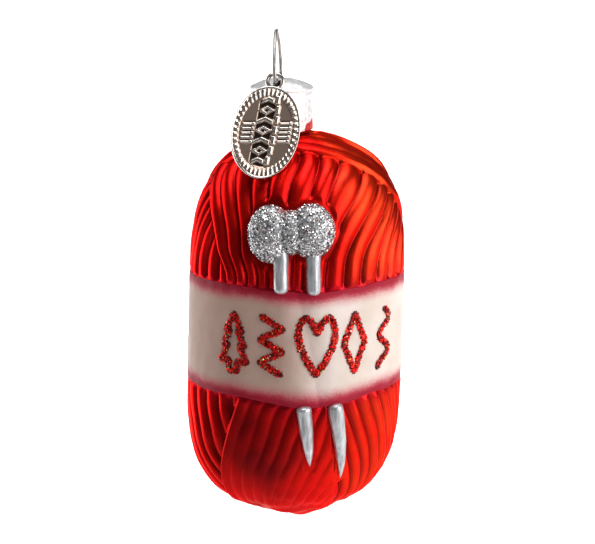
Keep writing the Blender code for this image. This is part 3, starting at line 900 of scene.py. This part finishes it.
class MakeBand(bpy.types.Operator):
    """Makes the label band: a sleeve with rounded edges that swells over the two needles."""

    bl_idname = "ornament.make_band"
    bl_label = "Label band"

    def execute(self, context):
        angle = around(COLUMNS)
        outer = np.linspace(0, 1, 70)
        turn = np.linspace(0, math.pi, 9)[1:-1]
        share = np.concatenate([outer, 1 + 0 * turn, outer[::-10], 0 * turn])[:, None]
        inner = outer[::-10]
        depth = [0 * outer, (1 - np.cos(turn)) / 2, 1 + 0 * inner, (1 + np.cos(turn)) / 2]
        depth = np.concatenate(depth)[:, None]
        swell = np.concatenate([0 * outer, np.sin(turn), 0 * outer[::-10], -np.sin(turn)])
        z = BAND_TOP + (BAND_BOTTOM - BAND_TOP) * share + 0 * angle
        bent = follow_band(angle, z) - 0.25 * MM * swell[:, None]
        bent = bent + 0.22 * MM * ripple(skein_point(angle, z), 11 * MM, 22)
        base = skein_point(angle, bent)
        crown = 0.12 * MM * (1 - np.abs(2 * share - 1) ** 6) - 0.12 * MM
        lumps = 0.1 * MM * ripple(base, 7 * MM, 21)
        out = needle_bump(angle, z) + crown + np.where(depth > 0, 0, lumps) - BAND_WALL * depth
        edge = np.minimum(share, 1 - share) * (BAND_TOP - BAND_BOTTOM) + 0 * angle
        points = skein_point(angle, bent, out)
        # Painted shade: the band's left side, away from the key light, is marked for a browner cream.
        painted_left_shade = smooth((20 * DEG - angle) / (30 * DEG)) * smooth((angle + 100 * DEG) / (40 * DEG)) + 0 * share
        mesh = grid_mesh("band_sleeve", points, {"edge": edge, "painted_left_shade": painted_left_shade}, close_rows=True)
        place("band_sleeve", mesh, label_enamel(colours()), "glass", "label_enamel", "label_band")
        return {"FINISHED"}


def needle_grid(start, end, reach, lift, rounded):
    """A needle's bar from (angle, z) to (angle, z) over the skein, its radius reach a function of the
    share of its length, and its ends domed over rounded metres."""
    share = np.linspace(0, 1, 60)
    angle = np.radians(start[0] + (end[0] - start[0]) * share)
    z = start[1] + (end[1] - start[1]) * share
    path = skein_point(angle, z, lift(share))
    length = np.linalg.norm(np.diff(path, axis=0), axis=1).sum()
    inward = np.clip(np.minimum(share, 1 - share) * length / rounded, 0.0, 1)
    dome = np.sqrt(1 - (1 - inward) ** 2)
    up = triples(np.sin(angle), -np.cos(angle), 0)
    wobble = 1 + 0.07 * ripple(path, 9 * MM, 31 + round(start[0]))
    grid = bar_grid(path, np.maximum(reach(share) * dome * wobble, 0.02 * MM), up, 28)
    return grid, path[0], path[-1]


class MakeNeedles(bpy.types.Operator):
    """Makes the two needles: the shafts above the band and the tapered tips below it."""

    bl_idname = "ornament.make_needles"
    bl_label = "Needles"

    def execute(self, context):
        enamel = needle_enamel(colours())
        for side, needle in NEEDLES.items():
            band_top = float(band_edge(np.radians(needle["band_top"]), BAND_TOP))
            band_bottom = float(band_edge(np.radians(needle["band_bottom"]), BAND_BOTTOM))
            grid, top, foot = needle_grid(
                (needle["top"], SHAFT_TOP + 2 * MM),
                (needle["band_top"], band_top - 0.5 * MM),
                lambda share: SHAFT_RADIUS + 0 * share,
                lambda share: 0.25 * MM + 0 * share,
                1.5 * MM,
            )
            mesh = grid_mesh(f"needle_shaft_{side}_bar", grid, caps=(top, foot))
            name = f"needle_shaft_{side}_bar"
            place(name, mesh, enamel, "glass", "needle_silver", f"needle_shaft_{side}")
            grid, top, foot = needle_grid(
                (needle["band_bottom"] - 0.1, band_bottom + 0.35 * MM),
                (needle["point"], needle["point_z"]),
                lambda share: TIP_RADIUS * (1 - share**2.6) ** 0.85,
                lambda share: 0.3 * MM - 0.25 * MM * share,
                1.2 * MM,
            )
            name = f"needle_tip_{side}_bar"
            mesh = grid_mesh(name, grid, caps=(top, foot))
            place(name, mesh, enamel, "glass", "needle_silver", f"needle_tip_{side}")
        return {"FINISHED"}


def knob_centre(side):
    """The middle of a knob, a little below the surface of the glass."""
    knob = KNOBS[side]
    return skein_point(np.radians(knob["angle"]), np.array(knob["z"]), -0.4 * MM)


def glitter_dome(name, centre, half, seed, count, glue, film):
    """A lumpy ellipsoid of glue with these half sizes, and count flakes lying on its front."""
    fall = np.linspace(0, math.pi, 48)[1:-1, None]
    turn = around(72)
    unit = triples(np.sin(fall) * np.sin(turn), -np.sin(fall) * np.cos(turn), np.cos(fall))
    lumps = 1 + 0.015 * ripple(unit, 0.5, seed)
    caps = (centre + [0, 0, half[2]], centre - [0, 0, half[2]])
    mesh = grid_mesh(f"{name}_dome", centre + unit * half * lumps[..., None], caps=caps)
    place(f"{name}_dome", mesh, glue, "glass", "silver_glitter")
    dice = np.random.default_rng(seed + 10)
    way = dice.normal(size=(count * 2, 3))
    way /= np.linalg.norm(way, axis=1, keepdims=True)
    way = way[way[:, 1] < 0.15][:count]
    lift = dice.uniform(0.0, 0.14 * MM, (len(way), 1))
    normal = way / half
    normal /= np.linalg.norm(normal, axis=1, keepdims=True)
    mesh = flake_mesh(f"{name}_flakes", centre + way * half + normal * lift, normal, seed + 20)
    place(f"{name}_flakes", mesh, film, "glass", "silver_glitter")


class MakeKnobs(bpy.types.Operator):
    """Makes the two glitter knobs and the small dome that fills the crease between them."""

    bl_idname = "ornament.make_knobs"
    bl_label = "Knobs"

    def execute(self, context):
        glue = glitter_glue("clear_glue_silver_glitter", "B4B4B8", "5A5A60")
        film = glitter_flake("metallised_film_silver", SILVER_FLAKES)
        for number, (side, knob) in enumerate(KNOBS.items()):
            half = np.array([knob["half_width"], KNOB_HALF_DEPTH, knob["half_height"]]) - 0.15 * MM
            count = sizes().flakes_per_knob
            glitter_dome(f"knob_{side}", knob_centre(side), half, 41 + number, count, glue, film)
            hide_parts(f"needle_knob_{side}")
        middle = (knob_centre("left") + knob_centre("right")) / 2
        half = np.array([4.2 * MM, KNOB_HALF_DEPTH - 0.35 * MM, 5.3 * MM])
        glitter_dome("knob_join", middle, half, 45, int(sizes().flakes_per_knob * 0.7), glue, film)
        return {"FINISHED"}


def motif_outlines():
    """Each motif's centre angle, half width, whether its line closes, and its corners (-1 to 1)."""
    heart = [(0, 0.45), (0.3, 0.85), (0.62, 1), (0.9, 0.8), (1, 0.4), (0.85, -0.05), (0.5, -0.5), (0, -1)]
    heart += [(-x, y) for x, y in reversed(heart[1:-1])]
    tree = [(0, 1), (0.6, 0.4), (0.3, 0.4), (0.8, -0.1), (0.45, -0.1), (1, -0.65), (0.3, -0.65), (0.3, -1)]
    tree += [(-x, y) for x, y in reversed(tree[1:])]
    zigzag = [(-0.8, 1), (0.9, 0.6), (-0.9, 0.2), (0.9, -0.2), (-0.9, -0.6), (0.8, -1)]
    wave = [(math.sin(i * 0.55) * 0.8, 1 - i / 10) for i in range(21)]
    diamond = [(0, 1), (1, 0), (0, -1), (-1, 0)]
    return {
        "tree": (-33.9, 4.3 * MM, True, tree),
        "zigzag": (-12.5, 3.6 * MM, False, zigzag),
        "heart": (10.8, 5.0 * MM, True, heart),
        "diamond": (32.1, 3.6 * MM, True, diamond),
        "wave": (53.2, 3.0 * MM, False, wave),
    }


def on_band(motif, spots, lift):
    """Points of a motif's own square, -1 to 1, laid on the band's surface, and the way out there."""
    angle, half_width = motif[:2]
    turn = math.radians(angle) + spots[:, 0] * half_width / SKEIN_HALF_WIDTH
    z = MOTIF_Z + spots[:, 1] * MOTIF_HALF_HEIGHT
    points = skein_point(turn, z, needle_bump(turn, z) + lift)
    out = triples(np.sin(turn), -np.cos(turn), 0)
    return points, out


class MakeMotifs(bpy.types.Operator):
    """Makes the five glitter motifs: glue beads drawn from corner to corner, with flakes on them."""

    bl_idname = "ornament.make_motifs"
    bl_label = "Glitter motifs"

    def execute(self, context):
        glue = glitter_glue("clear_glue_red_glitter", "6A0810", "2A0206")
        film = glitter_flake("metallised_film_red", RED_FLAKES)
        half = sizes().stroke_width / 2
        for number, (name, motif) in enumerate(motif_outlines().items()):
            half_width, closed, corners = motif[1:]
            scale = np.array([half_width, MOTIF_HALF_HEIGHT])
            room = 1 - half * 0.55 / scale
            corners = np.array(corners) * room
            ends = np.roll(corners, -1, 0) if closed else corners[1:]
            dice = np.random.default_rng(80 + number)
            beads, spots, sideways = [], [], []
            for a, b in zip(corners, ends):
                way = (b - a) * scale
                length = np.linalg.norm(way)
                run = np.linspace(-half, length + half, 16)
                past = np.maximum(np.maximum(-run, run - length), 0) / half
                path, out = on_band(motif, a + (b - a) * (run / length)[:, None], 0.02 * MM)
                reach = 0.82 * half * np.sqrt(np.clip(1 - past**2, 0.0004, 1))
                grid = bar_grid(path, reach, out, 14, flat=0.42)
                beads.append(grid_mesh("bead", grid, caps=(path[0], path[-1])))
                count = int(length / MM * half / MM * 2 * 12)
                along = dice.uniform(0, 1, (count, 1))
                across = np.array([-way[1], way[0]]) / length / scale
                aside = dice.uniform(-1.08, 1.08, (count, 1))
                spots.append(a + (b - a) * along + across * aside * half * 0.97)
                sideways.append(np.abs(aside[:, 0]))
            mesh = join_meshes(f"motif_{name}_bead", beads)
            place(f"motif_{name}_bead", mesh, glue, "glass", "red_glitter", f"motif_{name}")
            spots = np.concatenate(spots)
            crown = 0.42 * half * np.sqrt(np.clip(1 - np.concatenate(sideways) ** 2, 0.01, 1))
            points, out = on_band(motif, spots, crown + 0.05 * MM)
            mesh = flake_mesh(f"motif_{name}_flakes", points, out, 90 + number)
            place(f"motif_{name}_flakes", mesh, film, "glass", "red_glitter")
        return {"FINISHED"}


# ---------------------------------------------------------------- wire, cap and tag


def wire_point(s, z):
    """A point of the wire's plane: s runs across it, from front to back, and z is the height."""
    return np.array([WIRE_LEAN * z + WIRE_TURN * s, s, z])


class MakeWire(bpy.types.Operator):
    """Makes the spring wire: one round bar through the loop, the shoulders and both legs."""

    bl_idname = "ornament.make_wire"
    bl_label = "Wire"

    def execute(self, context):
        side = [(s * MM, z * MM) for s, z in WIRE_PATH]
        points = [wire_point(-s, z) for s, z in side] + [wire_point(0, 0.45 * MM)]
        points += [wire_point(s, z) for s, z in reversed(side)]
        path = smooth_path(points, 10)
        across = np.cross(wire_point(1, 0), [0, 0, 1.0])
        grid = bar_grid(path, WIRE_RADIUS, across, 18)
        mesh = grid_mesh("wire_loop", grid, caps=(path[0], path[-1]))
        place("wire_loop", mesh, spring_wire(colours()), "hanger", "spring_wire", "hanger_wire")
        return {"FINISHED"}


def cap_profile():
    """Radius and height down the cap: a dome that falls with the radius squared, a rolled shoulder,
    then the skirt."""
    share = np.linspace(0.012, 1, 54)
    reach = (CAP_RADIUS - 0.55 * MM) * share
    dome = np.stack([reach, CAP_APEX - (CAP_DOME - 0.2 * MM) * share**2.4], 1)
    turn = np.linspace(0.25, math.pi / 2 + 0.25, 10)
    roll = np.stack(
        [
            CAP_RADIUS - 0.62 * MM + 0.6 * MM * np.sin(turn),
            CAP_APEX - CAP_DOME - 0.42 * MM + 0.6 * MM * np.cos(turn),
        ],
        1,
    )
    fall = np.linspace(0, 1, 56)[1:]
    skirt = np.stack(
        [
            CAP_RADIUS - 0.22 * MM * np.exp(-fall * 9) + 0 * fall,
            roll[-1, 1] + (CAP_BOTTOM - roll[-1, 1]) * fall,
        ],
        1,
    )
    return np.vstack([dome, roll, skirt])


def off_slots(spots):
    """Whether these places on the cap are clear of the two slots that the wire goes through."""
    s = spots[:, 1]
    aside = np.abs(spots[:, 0] - WIRE_LEAN * spots[:, 2] - WIRE_TURN * s)
    in_reach = (np.abs(s) > SLOT_REACH[0]) & (np.abs(s) < SLOT_REACH[1])
    return ~((aside < SLOT_WIDTH / 2) & in_reach & (spots[:, 2] > CAP_APEX - CAP_DOME - 0.2 * MM))


class MakeCap(bpy.types.Operator):
    """Makes the cap: stamped sheet with a crinkled skirt and two slots for the wire."""

    bl_idname = "ornament.make_cap"
    bl_label = "Cap"

    def execute(self, context):
        reach, z = (cap_profile()[:, i, None] for i in (0, 1))
        turn = around(240)
        skirt = smooth((CAP_APEX - CAP_DOME - 1.2 * MM - z) / (2 * MM))
        low = smooth((CAP_BOTTOM + 3 * MM - z) / (3 * MM))
        flutes = 0.05 * MM * np.sin(40 * turn) * skirt * (0.4 + 0.6 * low)
        base = triples(reach * np.sin(turn), -reach * np.cos(turn), z)
        dents = 0.1 * MM * ripple(base, 6 * MM, 71) * smooth(reach / (3 * MM)) - 0.05 * MM
        wide = reach + (flutes + dents) * skirt - 0.08 * MM * skirt
        points = triples(NECK_X + wide * np.sin(turn), -wide * np.cos(turn), z)
        points[..., 2] += dents * (1 - skirt) + 0.06 * MM * (np.sin(3 * turn + 1) - 1) * low * -1
        # A red patch low on the skirt, towards the right front; there the metal is also made less metallic.
        red_patch = bell((turn - 1.2) / 0.5) * bell((z - CAP_BOTTOM - 0.4 * MM) / (2.4 * MM))
        red_patch = red_patch + 0.35 * ripple(base, 2.5 * MM, 72) * (red_patch > 0.05)
        crown = np.array([NECK_X, 0, CAP_APEX])
        mesh = grid_mesh("cap_shell", points, {"paint": red_patch}, caps=(crown, None), keep=off_slots)
        cap = place("cap_shell", mesh, cap_metal(colours()), "cap", "cap_metal", "ornament_cap")
        wall = cap.modifiers.new("wall", "SOLIDIFY")
        wall.thickness = 0.3 * MM
        wall.offset = -1
        return {"FINISHED"}


def plateau(x, half, soft):
    """1 within half of 0, falling to 0 over soft on each side."""
    return smooth((half + soft / 2 - np.abs(x)) / soft)


def tag_relief(x, z):
    """Height of the tag's front over its field, in millimetres, at x and z millimetres from its middle:
    a flat border, a twisted rope, two ladders of bars and a column of chevrons and lozenges, the last
    two over sunk strips left dark."""
    reach = np.hypot(x / (TAG_HALF_WIDTH / MM), z / (TAG_HALF_HEIGHT / MM))
    around = np.arctan2(x / TAG_HALF_WIDTH, z / TAG_HALF_HEIGHT)
    inset = (1 - reach) * 9.2
    level_z = z - math.tan(TAG_TILT) * x
    column = plateau(x + 0.75, 1.9, 0.4) * plateau(level_z + 0.5, 8.6, 0.4)
    ladders = (plateau(x + 4.35, 1.5, 0.3) + plateau(x - 4.5, 1.5, 0.3)) * plateau(level_z, 2.9, 0.3)
    floor = -0.16 * smooth(column + ladders) * smooth((inset - 2.2) / 0.4)
    border = plateau(inset - 0.2, 0.25, 0.25) * 0.42
    block = (0.5 + 0.5 * np.cos(around * sizes().rope_turns + inset * 0.8)) ** 0.7
    rope = np.sqrt(np.clip(1 - ((inset - 1.2) / 0.8) ** 2, 0, 1)) * (0.06 + 0.4 * block)
    height = np.maximum(border, rope)
    for row in range(5):
        level = level_z - 2.2 + row * 1.15
        for way, centre in ((-1, x + 4.35), (1, x - 4.5)):
            bar = plateau(level, 0.3, 0.5) * plateau(centre, 1.5, 0.4) * 0.36
            stud = plateau(level, 0.4, 0.35) * plateau(centre - 1.15, 0.4, 0.3) * 0.42
            height = np.maximum(height, np.maximum(bar, stud))
    for row in range(7):
        level = level_z - 8.3 + row * 2.6
        wide = (1.5, 1.9, 2.1, 2.1, 2.1, 1.9, 1.5)[row]
        left = x + 0.75
        if row % 2:
            ring = np.abs(np.abs(left) / wide + np.abs(level) / 1.15 - 0.72)
            raised = smooth((0.5 - ring) / 0.42) * 0.42
        else:
            arm = level + np.abs(left) * 0.5 - 0.45
            raised = plateau(arm, 0.5, 0.5) * plateau(left, wide, 0.4) * 0.42
        post = plateau(level, 1.05, 0.3) * plateau(x - wide, 0.5, 0.5) * 0.42
        height = np.maximum(height, np.maximum(raised, post))
    return np.where(height > 0.02, height, floor)


def tag_ring(share, depth, turn):
    """Rings of the tag's oval: share of its size across, and depth from its middle plane."""
    return triples(TAG_HALF_WIDTH * share * np.sin(turn), depth, TAG_HALF_HEIGHT * share * np.cos(turn))


def tag_place(points):
    """Turns the upright tag by its tilt in its own plane, leans it back on the shoulder and hangs it
    by its lug's centre from the wire."""
    c, s = math.cos(TAG_TILT), math.sin(TAG_TILT)
    tilt = np.array([[c, 0, s], [0, 1, 0], [-s, 0, c]])
    c, s = math.cos(-TAG_LEAN), math.sin(-TAG_LEAN)
    lean = np.array([[1, 0, 0], [0, c, -s], [0, s, c]])
    return points @ (lean @ tilt).T + wire_point(LUG_S, LUG_Z)


class MakeTag(bpy.types.Operator):
    """Makes the oval tag: its cast front, its plain back and the ring that it hangs by."""

    bl_idname = "ornament.make_tag"
    bl_label = "Tag"

    def execute(self, context):
        nickel = tag_nickel(colours())
        middle = -(TAG_HALF_HEIGHT + LUG_RADIUS - LUG_WIRE)
        turn = around(300)
        share = np.linspace(0.012, 0.985, 84)[:, None]
        x = TAG_HALF_WIDTH * share * np.sin(turn)
        z = TAG_HALF_HEIGHT * share * np.cos(turn)
        height = tag_relief(x / MM, z / MM)
        front = tag_ring(share, -TAG_THICKNESS / 2 + (TAG_RELIEF - height) * MM, turn)
        roll = np.linspace(0, math.pi, 9)[1:-1, None]
        edge = tag_ring(0.985 + 0.015 * np.sin(roll), -TAG_THICKNESS / 2 * 0.96 * np.cos(roll), turn)
        share = np.linspace(0.985, 0.05, 16)[:, None]
        dish = 0.12 * MM * smooth((0.93 - share) / 0.06)
        back = tag_ring(share, TAG_THICKNESS / 2 - dish, turn)
        raised = np.concatenate([height / TAG_RELIEF, 0 * edge[..., 0] + 0.8, 0 * back[..., 0] + 0.45])
        grid = np.concatenate([front, edge, back])
        grid[..., 2] += middle
        sides = (-TAG_THICKNESS / 2 + 0.2 * MM, TAG_THICKNESS / 2 - 0.12 * MM)
        caps = [np.array([0, side, middle]) for side in sides]
        mesh = grid_mesh("tag_plate", tag_place(grid), {"raised": raised}, caps=[tag_place(p) for p in caps])
        place("tag_plate", mesh, nickel, "tag", "tag_nickel", "oval_tag")
        turn = np.linspace(0, 2 * math.pi, 64, endpoint=False)[:, None]
        round_ = np.linspace(0, 2 * math.pi, 20, endpoint=False)[None, :]
        reach = LUG_RADIUS + LUG_WIRE * np.cos(round_)
        ring = triples(reach * np.sin(turn), -LUG_WIRE * np.sin(round_), reach * np.cos(turn))
        mesh = grid_mesh("tag_lug", tag_place(ring), {"raised": 0 * ring[..., 0] + 0.85}, close_rows=True)
        place("tag_lug", mesh, nickel, "tag", "tag_nickel")
        return {"FINISHED"}


# ---------------------------------------------------------------- stage, panel and run

CAMERA_TARGET = (5.21 * MM, 0.0, -60 * MM)
CAMERA_DISTANCE = 650 * MM
CAMERA_HEIGHT = math.radians(11.5)
CAMERA_LENS = 157.3


def aim(obj, place_, target):
    """Puts an object at place_ and turns its -Z towards the target, with its Y up."""
    place_, target = np.asarray(place_, float), np.asarray(target, float)
    away = place_ - target
    away /= np.linalg.norm(away)
    side = np.cross([0, 0, 1.0], away)
    side /= np.linalg.norm(side)
    up = np.cross(away, side)
    matrix = np.eye(4)
    matrix[:3, :3] = np.stack([side, up, away], 1)
    matrix[:3, 3] = place_
    obj.matrix_world = Matrix(matrix.tolist())


class MakeStage(bpy.types.Operator):
    """Makes the pale floor, the soft lights and the camera."""

    bl_idname = "ornament.make_stage"
    bl_label = "Stage"

    def execute(self, context):
        scene = context.scene
        mesh = bpy.data.meshes.new("floor_paper")
        level = -420 * MM
        corners = [(-9, -9, level), (9, -9, level), (9, 9, level), (-9, 9, level)]
        mesh.from_pydata(corners, [], [(0, 1, 2, 3)])
        mesh.materials.append(studio_floor(colours()))
        floor = bpy.data.objects.new("floor_paper", mesh)
        scene.collection.objects.link(floor)

        world = bpy.data.worlds.new("studio_air")
        world.use_nodes = True
        air = world.node_tree.nodes["Background"]
        air.inputs["Color"].default_value = linear("FFFDFA")
        air.inputs["Strength"].default_value = 0.16
        scene.world = world

        lamps = (
            ("softbox_right", (0.66, -0.33, 0.16), 0.75, 0.8, 6.2, "FFFDFA", 180),
            ("softbox_left", (-0.62, 0.3, 0.05), 0.4, 0.8, 2.2, "FFFFFF", 180),
            ("softbox_top", (0.05, -0.05, 0.8), 0.6, 0.4, 4.6, "FFFFFF", 180),
            ("softbox_floor", (0.0, 2.8, 1.1), 4.6, 4.4, 150.0, "FFFFFF", 75),
        )
        target = (0.005, 0, -0.07)
        for name, spot, width, tall, power, code, spread in lamps:
            light = bpy.data.lights.new(name, "AREA")
            light.shape = "RECTANGLE"
            light.size = width
            light.size_y = tall
            light.energy = power
            light.color = linear(code)[:3]
            light.spread = math.radians(spread)
            lamp = bpy.data.objects.new(name, light)
            scene.collection.objects.link(lamp)
            aim(lamp, spot, (0, 2.79, -0.4) if name == "softbox_floor" else target)

        data = bpy.data.cameras.new("studio_camera")
        data.lens = CAMERA_LENS
        data.sensor_width = 36
        data.clip_end = 50
        camera = bpy.data.objects.new("studio_camera", data)
        scene.collection.objects.link(camera)
        reach = CAMERA_DISTANCE * np.array([0, -math.cos(CAMERA_HEIGHT), math.sin(CAMERA_HEIGHT)])
        aim(camera, np.array(CAMERA_TARGET) + reach, CAMERA_TARGET)
        scene.camera = camera
        scene.view_settings.view_transform = "Standard"
        return {"FINISHED"}


OPERATORS = (MakeGlass, MakeBand, MakeNeedles, MakeKnobs, MakeMotifs, MakeWire, MakeCap, MakeTag, MakeStage)


class ORNAMENT_PT_panel(bpy.types.Panel):
    """Lists the pieces, their sizes and their colours."""

    bl_label = "Ornament"
    bl_space_type = "VIEW_3D"
    bl_region_type = "UI"
    bl_category = "Ornament"

    def draw(self, context):
        layout = self.layout
        for operator in OPERATORS:
            layout.operator(operator.bl_idname)
        for group in (context.scene.ornament_sizes, context.scene.ornament_colours):
            for key in group.__annotations__:
                layout.prop(group, key)


CLASSES = (OrnamentColours, OrnamentSizes, *OPERATORS, ORNAMENT_PT_panel)


def register():
    for cls in CLASSES:
        bpy.utils.register_class(cls)
    bpy.types.Scene.ornament_colours = bpy.props.PointerProperty(type=OrnamentColours)
    bpy.types.Scene.ornament_sizes = bpy.props.PointerProperty(type=OrnamentSizes)


def unregister():
    del bpy.types.Scene.ornament_sizes
    del bpy.types.Scene.ornament_colours
    for cls in reversed(CLASSES):
        bpy.utils.unregister_class(cls)


def main():
    """Registers the add-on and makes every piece."""
    register()
    for operator in OPERATORS:
        group, name = operator.bl_idname.split(".")
        getattr(getattr(bpy.ops, group), name)()


if __name__ == "__main__":
    main()
